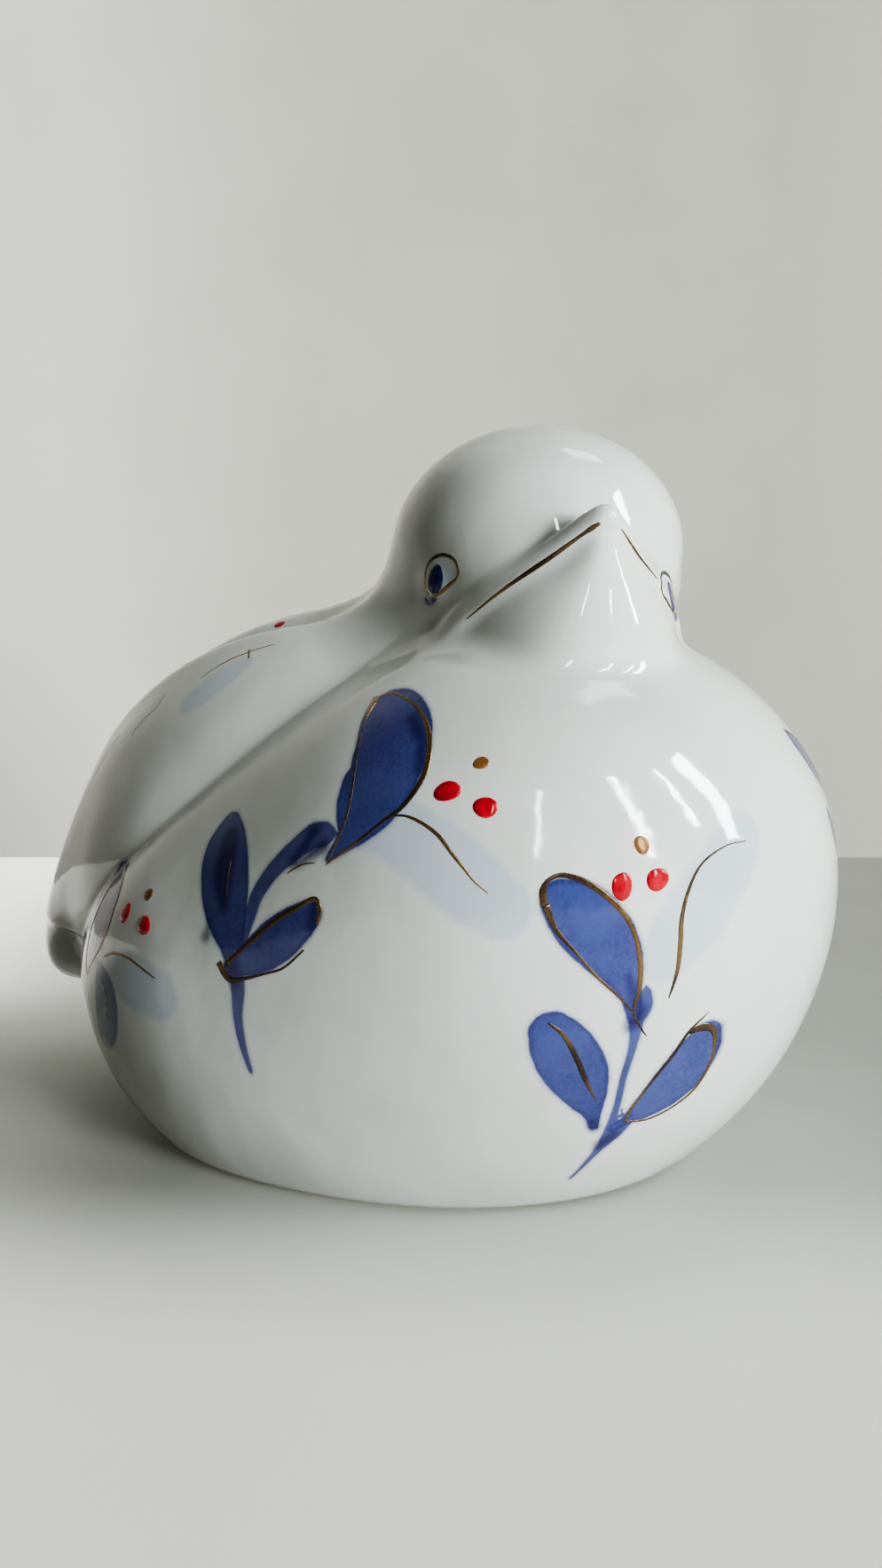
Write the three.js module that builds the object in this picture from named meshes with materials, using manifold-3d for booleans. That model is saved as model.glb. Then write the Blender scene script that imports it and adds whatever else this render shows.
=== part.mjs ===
// A slip-cast porcelain bird: a plump nestling that sits on its belly, wings folded along its
// back, head turned to its right with the bill lifted.
// Millimetres. The bird's breast faces -Y, its left side is +X and it sits on z = 0.

import * as THREE from 'three';
import { mergeVertices } from 'three/addons/utils/BufferGeometryUtils.js';
import Module from 'manifold-3d';

const wasm = await Module();
wasm.setup();

const FACET_ROWS = 21;
// Facets crowd towards the head as a whole, and more closely around the bill and the tail.
const HEAD_CROWDING = [-0.05, -0.1, 0.3];
const CROWDED_SPOTS = [
  { towards: [-0.42, -0.38, 0.6], pull: 0.6, width: 0.5 },
  { towards: [0, 0.97, -0.2], pull: 0.72, width: 0.6 },
];
const EVEN_PASSES = 5;
const EVEN_SHARE = 0.4;
const SETTLE_PASSES = 2;
const SETTLE_STEP = 0.02;
// Where the form is fine the facets are drawn closer: around the bill, the tail and the neck.
const FINE_SPOTS = [
  { at: [-20, -53, 108], width: 24, gain: 2 },
  { at: [0, 82, 32], width: 26, gain: 5 },
  { at: [0, -32, 88], width: 40, gain: 1 },
];
const RAY = { lowStart: [0, -8.5, 50], highStart: [0, -30.5, 88], reach: 150, step: 2, halvings: 10 };
// An edge is turned when this closes most of its gap to the skin without folding the facets.
const TURN = { flattest: 0.5, gain: 0.8, margin: 0.01 };

// The belly is an egg with its own reach to each side, and the chest rounds out its upper front.
const BELLY = { centre: [0, 0.5, 35.5], front: 80, rear: 62.5, side: 61.5, up: 48, down: 53 };
const BELLY_SQUARENESS = 2.1;
const CHEST = { centre: [0, -33, 55], radii: [58, 55, 47] };
const CHEST_BLEND = 16;

// The back with both wings, and the tail, are ovals that slope down to the rear.
const BACK = { centre: [0, 20.5, 56], radii: [60.5, 46, 45.5], slope: 27.7 };
const TAIL = { centre: [0, 63, 38], radii: [31.5, 31, 13], slope: 41 };
const TAIL_BLEND = 16;
const BACK_BLEND = 10;

// Each wing meets the flank in a valley. Both valleys lie on one plane that leans to the rear.
const VALLEY_NORMAL = [0.079, 0.651, 0.755];
const VALLEY_REACH = 64.3;
const VALLEY_DEPTH = 2.6;
const FLANK_ROLL = { width: 11, power: 2 };
const WING_ROLL = { width: 15, power: 2.2 };

// The inner wing edges leave a leaf-shaped strip of back between them.
const STRIP = { centreY: 31.5, halfWidth: 23.5, halfLength: 52 };
const STRIP_WIDTH_SCALE = 21;
const WING_EDGE = {
  rise: 0.9,
  riseAt: 1.4,
  riseWidth: 3.4,
  groove: 1.5,
  grooveAt: -2.6,
  grooveWidth: 2.4,
  fade: [2, 9],
};

// The wing tips end in a low crease around the tail.
const TIP_CREASE = {
  height: 38.5,
  notch: 5,
  notchWidth: 8,
  droop: 3.5,
  droopFrom: [24, 42],
  depth: 1.0,
  middle: 0.5,
  width: 1.5,
  step: 0.5,
  stepOver: 3,
  fade: [0, 4],
};

// The head turns about the vertical. Its parts are placed forward, to its left and up.
const HEAD_TURN = 46.5;
const SKULL = { centre: [0, -32, 114], radii: [28.8, 27.3, 22.7] };
const THROAT = { offset: [6.5, 0, -19], radii: [31, 20.5, 22] };
const NECK = { centre: [0, -18, 89], radii: [25.5, 32, 23.5] };
const HEAD_BLEND = 10;
const NECK_CREASE = { front: 4, rear: 6.5, frontY: -40, rearY: -5 };

// The bill: its tip, the tilt of the line where it closes, and the spread of its sides.
const FACE_CENTRE = [0, -31.5, 111.5];
const BILL = { forward: 38.5, up: 3.2, tilt: 41.8, spread: 0.76, tipRadius: 2.5 };
const UPPER_BILL = { slope: 0.33, blend: 5, edge: 1.2, length: 27, end: 6 };
const LOWER_BILL = { slope: 1, inset: 2.4, blend: 4, edge: 0.8, length: 30, end: 6 };
const BILL_ROLL = { inset: 1.3, height: 1.7, radius: 1.9, length: 22, end: 4, blend: 1.6 };

// Each eye is a low round mound.
const EYE = { forward: 14, side: 21.8, height: 105.5, radius: 7, sunk: 5.8, blend: 1.6 };

// The foot is flat, with a shallow recess inside its rim and one vent hole for the firing.
const FOOT = { edge: 3, cut: 0.5 };
const RECESS = { centreY: -6, halfWidth: 40, halfLength: 45, depth: 1.8, draft: 0.97 };
const VENT = { centreY: 8, radius: 4.5, depth: 7 };

function blend(first, second, radius) {
  const share = THREE.MathUtils.clamp(0.5 + (0.5 * (second - first)) / radius, 0, 1);
  return THREE.MathUtils.lerp(second, first, share) - radius * share * (1 - share);
}

function trim(first, second, radius) {
  return -blend(-first, -second, radius);
}

function bump(distance, width) {
  return Math.exp(-((distance / width) ** 2));
}

// Axes that look along a level heading, lifted by a tilt: forward, left and up.
function axesFor(heading, tilt) {
  const turn = THREE.MathUtils.degToRad(heading);
  const lift = THREE.MathUtils.degToRad(tilt);
  const level = new THREE.Vector3(-Math.sin(turn), -Math.cos(turn), 0);
  const left = new THREE.Vector3(Math.cos(turn), -Math.sin(turn), 0);
  const forward = level.clone().multiplyScalar(Math.cos(lift));
  forward.z = Math.sin(lift);
  const up = level.clone().multiplyScalar(-Math.sin(lift));
  up.z = Math.cos(lift);
  return [forward, left, up];
}

function localTo(axes, centre, point) {
  const offset = point.clone().sub(centre);
  return axes.map((axis) => offset.dot(axis));
}

// Distance to a rounded shape whose radii differ by axis; a power of 2 makes an ellipsoid.
function roundDistance(local, radii, power) {
  const reach = local.map((value, axis) => Math.abs(value) / radii[axis] + 1e-9);
  const size = reach.reduce((sum, value) => sum + value ** power, 0) ** (1 / power);
  const steepness = reach.map((value, axis) => (value / size) ** (power - 1) / radii[axis]);
  return (size - 1) / Math.hypot(...steepness);
}

const BACK_AXES = axesFor(180, -BACK.slope);
const TAIL_AXES = axesFor(180, -TAIL.slope);
const HEAD_AXES = axesFor(HEAD_TURN, 0);
const BILL_AXES = axesFor(HEAD_TURN, BILL.tilt);

function alongHead(centre, [forward, left, up]) {
  const place = centre.clone();
  [forward, left, up].forEach((reach, axis) => place.addScaledVector(HEAD_AXES[axis], reach));
  return place;
}

const bellyCentre = new THREE.Vector3(...BELLY.centre);
const chestCentre = new THREE.Vector3(...CHEST.centre);
const backCentre = new THREE.Vector3(...BACK.centre);
const tailCentre = new THREE.Vector3(...TAIL.centre);
const skullCentre = new THREE.Vector3(...SKULL.centre);
const throatCentre = alongHead(skullCentre, THROAT.offset);
const neckCentre = new THREE.Vector3(...NECK.centre);
const faceCentre = new THREE.Vector3(...FACE_CENTRE);
const billTip = alongHead(faceCentre, [BILL.forward, 0, BILL.up]);
const valleyNormal = new THREE.Vector3(...VALLEY_NORMAL);
const eyeCentres = [-1, 1].map((side) => {
  const rise = EYE.height - FACE_CENTRE[2];
  const onSkin = alongHead(faceCentre, [EYE.forward, side * EYE.side, rise]);
  const inward = faceCentre.clone().sub(onSkin).normalize();
  return onSkin.addScaledVector(inward, EYE.sunk);
});

function bellyDistance(point) {
  const [x, y, z] = point.clone().sub(bellyCentre).toArray();
  const radii = [BELLY.side, y < 0 ? BELLY.front : BELLY.rear, z > 0 ? BELLY.up : BELLY.down];
  const belly = roundDistance([x, y, z], radii, BELLY_SQUARENESS);
  const chest = roundDistance(point.clone().sub(chestCentre).toArray(), CHEST.radii, 2);
  return blend(belly, chest, CHEST_BLEND);
}

function backDistance(point) {
  const back = roundDistance(localTo(BACK_AXES, backCentre, point), BACK.radii, 2);
  const tail = roundDistance(localTo(TAIL_AXES, tailCentre, point), TAIL.radii, 2);
  return blend(back, tail, TAIL_BLEND);
}

// How far the skin stands out from the plain body, in the valleys, along the wing edges and
// around the wing tips.
function wingRelief(point) {
  const across = Math.abs(point.x);
  const mirrored = new THREE.Vector3(across, point.y, point.z);
  const aboveValley = mirrored.dot(valleyNormal) - VALLEY_REACH;
  const flankSide = Math.max(1 + aboveValley / FLANK_ROLL.width, 0) ** FLANK_ROLL.power;
  const wingSide = Math.max(1 - aboveValley / WING_ROLL.width, 0) ** WING_ROLL.power;
  const valley = -VALLEY_DEPTH * (aboveValley < 0 ? flankSide : wingSide);

  const lengthwise = (point.y - STRIP.centreY) / STRIP.halfLength;
  const beyondStrip = (Math.hypot(across / STRIP.halfWidth, lengthwise) - 1) * STRIP_WIDTH_SCALE;
  const rise = WING_EDGE.rise * bump(beyondStrip - WING_EDGE.riseAt, WING_EDGE.riseWidth);
  const groove = WING_EDGE.groove * bump(beyondStrip - WING_EDGE.grooveAt, WING_EDGE.grooveWidth);
  const wingEdge = (rise - groove) * THREE.MathUtils.smoothstep(aboveValley, ...WING_EDGE.fade);

  const notch = TIP_CREASE.notch * bump(across, TIP_CREASE.notchWidth);
  const droop = TIP_CREASE.droop * THREE.MathUtils.smoothstep(across, ...TIP_CREASE.droopFrom);
  const belowTips = TIP_CREASE.height + notch - droop - point.z;
  const crease = TIP_CREASE.depth * bump(belowTips - TIP_CREASE.middle, TIP_CREASE.width);
  const step = TIP_CREASE.step * THREE.MathUtils.smoothstep(belowTips, 0, TIP_CREASE.stepOver);
  const tips = -(crease + step) * THREE.MathUtils.smoothstep(aboveValley, ...TIP_CREASE.fade);
  return valley + wingEdge + tips;
}

// The bill is a cone around its closing line, rounded at the tip. Returns the distance to it,
// the height above the closing line and the length back from the tip.
function billCone(point, slope, inset) {
  const [forward, left, height] = localTo(BILL_AXES, billTip, point);
  const behind = -forward;
  const across = left / BILL.spread;
  const above = height / slope;
  const girth = Math.hypot(across, above, BILL.tipRadius);
  const steepness = Math.hypot(across / BILL.spread, above / slope) / girth;
  const distance = (girth - BILL.tipRadius - behind + inset) / Math.hypot(1, steepness);
  return { distance, height, behind };
}

function headDistance(point) {
  const skull = roundDistance(localTo(HEAD_AXES, skullCentre, point), SKULL.radii, 2);
  const throat = roundDistance(localTo(HEAD_AXES, throatCentre, point), THROAT.radii, 2);
  const neck = roundDistance(point.clone().sub(neckCentre).toArray(), NECK.radii, 2);
  let head = blend(blend(skull, throat, HEAD_BLEND), neck, HEAD_BLEND);

  const lower = billCone(point, LOWER_BILL.slope, LOWER_BILL.inset);
  const jaw = trim(lower.distance, lower.behind - LOWER_BILL.length, LOWER_BILL.end);
  head = blend(head, trim(jaw, lower.height, LOWER_BILL.edge), LOWER_BILL.blend);

  const upper = billCone(point, UPPER_BILL.slope, 0);
  const cap = trim(upper.distance, -upper.height, UPPER_BILL.edge);
  const cappedCone = trim(cap, upper.behind - UPPER_BILL.length, UPPER_BILL.end);
  head = blend(head, cappedCone, UPPER_BILL.blend);

  const outline = billCone(point, Infinity, 0);
  const rollHeight = outline.height - BILL_ROLL.height;
  const rollReach = Math.hypot(outline.distance + BILL_ROLL.inset, rollHeight) - BILL_ROLL.radius;
  const roll = trim(rollReach, outline.behind - BILL_ROLL.length, BILL_ROLL.end);
  head = blend(head, roll, BILL_ROLL.blend);

  for (const centre of eyeCentres) {
    head = blend(head, point.distanceTo(centre) - EYE.radius, EYE.blend);
  }
  return head;
}

function birdDistance(point) {
  const body = blend(bellyDistance(point), backDistance(point), BACK_BLEND) - wingRelief(point);
  const rearShare = THREE.MathUtils.smoothstep(point.y, NECK_CREASE.frontY, NECK_CREASE.rearY);
  const crease = THREE.MathUtils.lerp(NECK_CREASE.front, NECK_CREASE.rear, rearShare);
  const whole = blend(body, headDistance(point), crease);
  return trim(whole, -FOOT.cut - point.z, FOOT.edge);
}

function crowd(direction) {
  const crowded = direction.clone().add(new THREE.Vector3(...HEAD_CROWDING)).normalize();
  for (const { towards, pull, width } of CROWDED_SPOTS) {
    const spot = new THREE.Vector3(...towards).normalize();
    crowded.lerp(spot, pull * bump(crowded.angleTo(spot), width)).normalize();
  }
  return crowded;
}

// Every point of the skin is found along a ray. Rays that rise start higher and further
// forward, under the head, so that each meets the skin once.
function skinPoint(direction) {
  const lift = THREE.MathUtils.smoothstep(direction.z, 0, 1);
  const start = new THREE.Vector3(...RAY.lowStart).lerp(new THREE.Vector3(...RAY.highStart), lift);
  const at = (reach) => start.clone().addScaledVector(direction, reach);
  let outside = RAY.reach;
  let inside = outside;
  while (birdDistance(at(inside)) > 0) {
    outside = inside;
    inside -= RAY.step;
  }
  for (let halving = 0; halving < RAY.halvings; halving += 1) {
    const middle = (inside + outside) / 2;
    if (birdDistance(at(middle)) > 0) {
      outside = middle;
    } else {
      inside = middle;
    }
  }
  return at(inside);
}

// Moves a point that is close to the skin on to it, along the slope of the distance.
function settle(point) {
  for (let pass = 0; pass < SETTLE_PASSES; pass += 1) {
    const here = birdDistance(point);
    const slope = new THREE.Vector3();
    for (const axis of ['x', 'y', 'z']) {
      const ahead = point.clone();
      ahead[axis] += SETTLE_STEP;
      slope[axis] = (birdDistance(ahead) - here) / SETTLE_STEP;
    }
    point.addScaledVector(slope, -here / slope.lengthSq());
  }
}

function fineness(point) {
  return FINE_SPOTS.reduce((sum, { at, width, gain }) => {
    return sum + gain * bump(point.distanceTo(new THREE.Vector3(...at)), width);
  }, 1);
}

// Draws every corner towards the middle of the facets around it. Large facets and those in
// fine places draw harder, which evens out the stretched ones.
function evenOut(corners, triangles) {
  const sums = corners.map(() => new THREE.Vector3());
  const weights = corners.map(() => 0);
  for (const triangle of triangles) {
    const facet = new THREE.Triangle(...triangle.map((corner) => corners[corner]));
    const middle = facet.getMidpoint(new THREE.Vector3());
    const weight = facet.getArea() * fineness(middle);
    for (const corner of triangle) {
      sums[corner].addScaledVector(middle, weight);
      weights[corner] += weight;
    }
  }
  corners.forEach((corner, index) => {
    corner.lerp(sums[index].divideScalar(weights[index]), EVEN_SHARE);
    settle(corner);
  });
}

function middleError(first, second) {
  return Math.abs(birdDistance(first.clone().lerp(second, 0.5)));
}

function facing(first, second, third) {
  return second.clone().sub(first).cross(third.clone().sub(first)).normalize();
}

// Turns an edge to the other diagonal of its two facets where that lies closer to the skin, so
// that edges run along the creases.
function turnEdges(corners, triangles) {
  const owners = new Map();
  triangles.forEach((triangle, index) => {
    for (let turn = 0; turn < 3; turn += 1) {
      const [from, to, opposite] = [0, 1, 2].map((next) => triangle[(turn + next) % 3]);
      owners.set(`${from} ${to}`, { index, opposite });
    }
  });
  const turned = new Set();
  for (const [edge, left] of [...owners]) {
    const [from, to] = edge.split(' ').map(Number);
    const right = owners.get(`${to} ${from}`);
    const opposites = [left.opposite, right.opposite];
    const busy = turned.has(left.index) || turned.has(right.index);
    const taken = owners.has(opposites.join(' ')) || owners.has(opposites.toReversed().join(' '));
    if (from > to || busy || taken) {
      continue;
    }
    const [start, end, near, far] = [from, to, ...opposites].map((corner) => corners[corner]);
    const before = facing(start, end, near).add(facing(end, start, far)).normalize();
    const tilts = [facing(near, far, end), facing(far, near, start)].map((side) => before.dot(side));
    const gap = TURN.gain * middleError(start, end) - TURN.margin;
    if (Math.min(...tilts) > TURN.flattest && middleError(near, far) < gap) {
      triangles[left.index] = [...opposites, to];
      triangles[right.index] = [...opposites.toReversed(), from];
      turned.add(left.index).add(right.index);
    }
  }
}

function solidFrom(geometry) {
  const bare = geometry.clone();
  bare.deleteAttribute('normal');
  bare.deleteAttribute('uv');
  const merged = mergeVertices(bare, 1e-4);
  const vertProperties = new Float32Array(merged.attributes.position.array);
  const triVerts = new Uint32Array(merged.index.array);
  return new wasm.Manifold(new wasm.Mesh({ numProp: 3, vertProperties, triVerts }));
}

function geometryFrom(solid) {
  const { vertProperties, triVerts } = solid.getMesh();
  const geometry = new THREE.BufferGeometry();
  geometry.setAttribute('position', new THREE.BufferAttribute(vertProperties, 3));
  geometry.setIndex(new THREE.BufferAttribute(triVerts, 1));
  geometry.computeVertexNormals();
  return geometry;
}

// A ball of facets, closer together towards the head, is cast on to the skin and evened out.
function birdSkin() {
  const ball = new THREE.IcosahedronGeometry(1, FACET_ROWS);
  ball.deleteAttribute('normal');
  ball.deleteAttribute('uv');
  const merged = mergeVertices(ball, 1e-4);
  const directions = merged.attributes.position;
  const corners = [];
  for (let index = 0; index < directions.count; index += 1) {
    const direction = new THREE.Vector3().fromBufferAttribute(directions, index);
    corners.push(skinPoint(crowd(direction)));
  }
  const triangles = [];
  for (let index = 0; index < merged.index.count; index += 3) {
    triangles.push([0, 1, 2].map((turn) => merged.index.getX(index + turn)));
  }
  for (let pass = 0; pass < EVEN_PASSES; pass += 1) {
    evenOut(corners, triangles);
    turnEdges(corners, triangles);
  }
  const positions = corners.flatMap((corner) => corner.toArray());
  const skin = new THREE.BufferGeometry();
  skin.setAttribute('position', new THREE.Float32BufferAttribute(positions, 3));
  skin.setIndex(triangles.flat());
  return solidFrom(skin);
}

// Everything below z = 0 goes, which leaves the foot a true flat.
function groundBlock() {
  const block = new THREE.BoxGeometry(300, 300, 20);
  block.translate(0, 0, -10);
  return solidFrom(block);
}

// The recess narrows a little inwards, as the mould's draft leaves it.
function recessBlock() {
  const plug = new THREE.CylinderGeometry(RECESS.draft, 1, RECESS.depth * 2, 64);
  plug.rotateX(Math.PI / 2);
  plug.scale(RECESS.halfWidth, RECESS.halfLength, 1);
  plug.translate(0, RECESS.centreY, 0);
  return solidFrom(plug);
}

function ventBlock() {
  const drill = new THREE.CylinderGeometry(VENT.radius, VENT.radius, VENT.depth * 2, 32);
  drill.rotateX(Math.PI / 2);
  drill.translate(0, VENT.centreY, 0);
  return solidFrom(drill);
}

function porcelainBird() {
  const cast = birdSkin().subtract(groundBlock()).subtract(recessBlock()).subtract(ventBlock());
  const glaze = new THREE.MeshStandardMaterial({ color: 0xe9ebe8, roughness: 0.12, metalness: 0 });
  const mesh = new THREE.Mesh(geometryFrom(cast), glaze);
  mesh.name = 'porcelain_bird';
  return mesh;
}

const figurine = new THREE.Group();
figurine.add(porcelainBird());

export default figurine;
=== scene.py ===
import math

import bpy
import numpy as np
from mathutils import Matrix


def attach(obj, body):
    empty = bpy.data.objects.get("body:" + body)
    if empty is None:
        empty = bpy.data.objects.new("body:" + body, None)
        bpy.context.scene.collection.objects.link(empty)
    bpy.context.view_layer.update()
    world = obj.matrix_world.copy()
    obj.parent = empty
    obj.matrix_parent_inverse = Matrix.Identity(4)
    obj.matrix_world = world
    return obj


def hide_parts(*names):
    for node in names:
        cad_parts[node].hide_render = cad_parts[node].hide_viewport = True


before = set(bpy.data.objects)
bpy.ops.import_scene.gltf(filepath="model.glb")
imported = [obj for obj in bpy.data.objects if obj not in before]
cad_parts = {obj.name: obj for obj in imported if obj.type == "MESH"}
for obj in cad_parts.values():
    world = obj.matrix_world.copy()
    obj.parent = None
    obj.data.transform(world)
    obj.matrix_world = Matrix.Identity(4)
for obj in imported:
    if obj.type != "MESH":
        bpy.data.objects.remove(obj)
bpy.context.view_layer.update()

# The cast bird. One hollow shell of white porcelain, slip-cast in a mould: belly and chest, the
# back with both folded wings and the tail, and the turned head with its bill and eye mounds.
# Sizes are millimetres; the breast faces -Y, the bird's left is +X and it sits on z = 0.
MILLIMETRE = 0.001
BELLY = {"centre": (0, 0.5, 35.5), "front": 80, "rear": 62.5, "side": 61.5, "up": 48, "down": 53}
BELLY_SQUARENESS = 2.1
CHEST = {"centre": (0, -33, 55), "radii": (58, 55, 47), "blend": 16}
BACK = {"centre": (0, 20.5, 56), "radii": (60.5, 46, 45.5), "slope": 27.7, "blend": 10}
TAIL = {"centre": (0, 63, 38), "radii": (31.5, 31, 13), "slope": 41, "blend": 16}
VALLEY = {"normal": (0.079, 0.651, 0.755), "reach": 64.3, "depth": 2.6}
FLANK_ROLL = {"width": 11, "power": 2}
WING_ROLL = {"width": 15, "power": 2.2}
STRIP = {"centre_y": 31.5, "half_width": 23.5, "half_length": 52, "scale": 21}
WING_EDGE = {"rise": 0.9, "rise_at": 1.4, "rise_width": 3.4}
WING_GROOVE = {"depth": 1.5, "at": -2.6, "width": 2.4}
TIP_CREASE = {"height": 38.5, "notch": 5, "notch_width": 8, "droop": 3.5}
TIP_STEP = {"depth": 1.0, "middle": 0.5, "width": 1.3, "step": 0.5, "over": 3}
HEAD_TURN = 46.5
SKULL = {"centre": (0, -32, 114), "radii": (28.8, 27.3, 22.7)}
THROAT = {"offset": (6.5, 0, -19), "radii": (31, 21, 22)}
NECK = {"centre": (0, -18, 89), "radii": (25.5, 32, 23.5)}
HEAD_BLEND = 10
HEAD_REACH = 62
NECK_CREASE = {"front": 2.5, "rear": 6.5, "front_y": -40, "rear_y": -5}
FACE_CENTRE = np.array((0, -31.5, 111.5))
BILL = {"forward": 38.5, "up": 3.2, "tilt": 41.8, "spread": 0.76, "tip_radius": 2.5}
UPPER_BILL = {"slope": 0.2, "blend": 3.5, "edge": 1.2, "length": 27, "end": 6}
LOWER_BILL = {"slope": 1, "inset": 2.4, "squareness": 2.5, "blend": 4}
LOWER_BILL |= {"edge": 0.6, "length": 30, "end": 6}
BILL_ROLL = {"inset": 1.2, "height": 1.7, "radius": 2.1, "length": 24, "end": 4, "blend": 0.9}
EYE_MOUND = {"forward": 14, "side": 21.8, "height": 105.5, "radius": 7, "sunk": 5.8, "blend": 1.6}
FOOT = {"edge": 3, "cut": 0.5}
RECESS = {"centre_y": -6, "half_width": 40, "half_length": 45, "depth": 1.8, "edge": 0.7}
VENT = {"centre_y": 8, "radius": 4.5, "depth": 7, "edge": 0.6}


def blend(first, second, radius):
    share = np.clip(0.5 + 0.5 * (second - first) / radius, 0, 1)
    return second + (first - second) * share - radius * share * (1 - share)


def trim(first, second, radius):
    return -blend(-first, -second, radius)


def bump(distance, width):
    return np.exp(-((distance / width) ** 2))


def fade(value, start, end):
    share = np.clip((value - start) / (end - start), 0, 1)
    return share * share * (3 - 2 * share)


def axes_for(heading, tilt):
    turn, lift = math.radians(heading), math.radians(tilt)
    level = np.array((-math.sin(turn), -math.cos(turn), 0))
    left = np.array((math.cos(turn), -math.sin(turn), 0))
    up = np.array((0, 0, 1))
    forward = level * math.cos(lift) + up * math.sin(lift)
    return np.stack([forward, left, up * math.cos(lift) - level * math.sin(lift)])


def round_distance(local, radii, power=2):
    reach = np.abs(local) / radii + 1e-9
    size = (reach**power).sum(-1) ** (1 / power)
    steepness = (reach / size[..., None]) ** (power - 1) / radii
    return (size - 1) / np.linalg.norm(steepness, axis=-1)


BACK_AXES = axes_for(180, -BACK["slope"])
TAIL_AXES = axes_for(180, -TAIL["slope"])
HEAD_AXES = axes_for(HEAD_TURN, 0)
BILL_AXES = axes_for(HEAD_TURN, BILL["tilt"])
bill_tip = FACE_CENTRE + np.array((BILL["forward"], 0, BILL["up"])) @ HEAD_AXES
throat_centre = np.array(SKULL["centre"]) + np.array(THROAT["offset"]) @ HEAD_AXES
eye_mounds = []
for side in (-1, 1):
    rise = EYE_MOUND["height"] - FACE_CENTRE[2]
    outward = np.array((EYE_MOUND["forward"], side * EYE_MOUND["side"], rise)) @ HEAD_AXES
    sunk = 1 - EYE_MOUND["sunk"] / np.linalg.norm(outward)
    eye_mounds.append(FACE_CENTRE + outward * sunk)


def belly_distance(points):
    local = points - BELLY["centre"]
    radii = np.empty(points.shape)
    radii[..., 0] = BELLY["side"]
    radii[..., 1] = np.where(local[..., 1] < 0, BELLY["front"], BELLY["rear"])
    radii[..., 2] = np.where(local[..., 2] > 0, BELLY["up"], BELLY["down"])
    belly = round_distance(local, radii, BELLY_SQUARENESS)
    chest = round_distance(points - CHEST["centre"], CHEST["radii"])
    return blend(belly, chest, CHEST["blend"])


def back_distance(points):
    back = round_distance((points - BACK["centre"]) @ BACK_AXES.T, BACK["radii"])
    tail = round_distance((points - TAIL["centre"]) @ TAIL_AXES.T, TAIL["radii"])
    return blend(back, tail, TAIL["blend"])


def above_valley(points):
    across = np.abs(points[..., :1])
    return np.concatenate([across, points[..., 1:]], -1) @ VALLEY["normal"] - VALLEY["reach"]


def beyond_strip(points):
    across = points[..., 0] / STRIP["half_width"]
    lengthwise = (points[..., 1] - STRIP["centre_y"]) / STRIP["half_length"]
    return (np.hypot(across, lengthwise) - 1) * STRIP["scale"]


def wing_relief(points):
    height = above_valley(points)
    flank_side = np.clip(1 + height / FLANK_ROLL["width"], 0, 1) ** FLANK_ROLL["power"]
    wing_side = np.clip(1 - height / WING_ROLL["width"], 0, 1) ** WING_ROLL["power"]
    relief = -VALLEY["depth"] * np.where(height < 0, flank_side, wing_side)

    edge = beyond_strip(points)
    rise = WING_EDGE["rise"] * bump(edge - WING_EDGE["rise_at"], WING_EDGE["rise_width"])
    groove = WING_GROOVE["depth"] * bump(edge - WING_GROOVE["at"], WING_GROOVE["width"])
    relief += (rise - groove) * fade(height, 2, 9)

    across = np.abs(points[..., 0])
    notch = TIP_CREASE["notch"] * bump(across, TIP_CREASE["notch_width"])
    droop = TIP_CREASE["droop"] * fade(across, 24, 42)
    below = TIP_CREASE["height"] + notch - droop - points[..., 2]
    crease = TIP_STEP["depth"] * bump(below - TIP_STEP["middle"], TIP_STEP["width"])
    step = TIP_STEP["step"] * fade(below, 0, TIP_STEP["over"])
    return relief - (crease + step) * fade(height, 0, 4)


def bill_cone(points, slope, inset, power=2):
    forward, left, height = np.moveaxis((points - bill_tip) @ BILL_AXES.T, -1, 0)
    across, above = np.abs(left / BILL["spread"]), np.abs(height / slope)
    girth = (across**power + above**power + BILL["tip_radius"] ** power) ** (1 / power)
    turned = (across / girth) ** (power - 1) / BILL["spread"], (above / girth) ** (power - 1) / slope
    steepness = np.hypot(*turned)
    distance = (girth - BILL["tip_radius"] + forward + inset) / np.hypot(1, steepness)
    return distance, height, -forward


def head_distance(points):
    skull = round_distance((points - SKULL["centre"]) @ HEAD_AXES.T, SKULL["radii"])
    throat = round_distance((points - throat_centre) @ HEAD_AXES.T, THROAT["radii"])
    neck = round_distance(points - NECK["centre"], NECK["radii"])
    head = blend(blend(skull, throat, HEAD_BLEND), neck, HEAD_BLEND)

    squareness = LOWER_BILL["squareness"]
    lower, height, behind = bill_cone(points, LOWER_BILL["slope"], LOWER_BILL["inset"], squareness)
    jaw = trim(lower, behind - LOWER_BILL["length"], LOWER_BILL["end"])
    head = blend(head, trim(jaw, height, LOWER_BILL["edge"]), LOWER_BILL["blend"])

    upper, height, behind = bill_cone(points, UPPER_BILL["slope"], 0)
    cap = trim(upper, -height, UPPER_BILL["edge"])
    head = blend(head, trim(cap, behind - UPPER_BILL["length"], UPPER_BILL["end"]), UPPER_BILL["blend"])

    outline, height, behind = bill_cone(points, 1e6, 0)
    roll = np.hypot(outline + BILL_ROLL["inset"], height - BILL_ROLL["height"]) - BILL_ROLL["radius"]
    head = blend(head, trim(roll, behind - BILL_ROLL["length"], BILL_ROLL["end"]), BILL_ROLL["blend"])

    for centre in eye_mounds:
        mound = np.linalg.norm(points - centre, axis=-1) - EYE_MOUND["radius"]
        head = blend(head, mound, EYE_MOUND["blend"])
    return head


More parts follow.
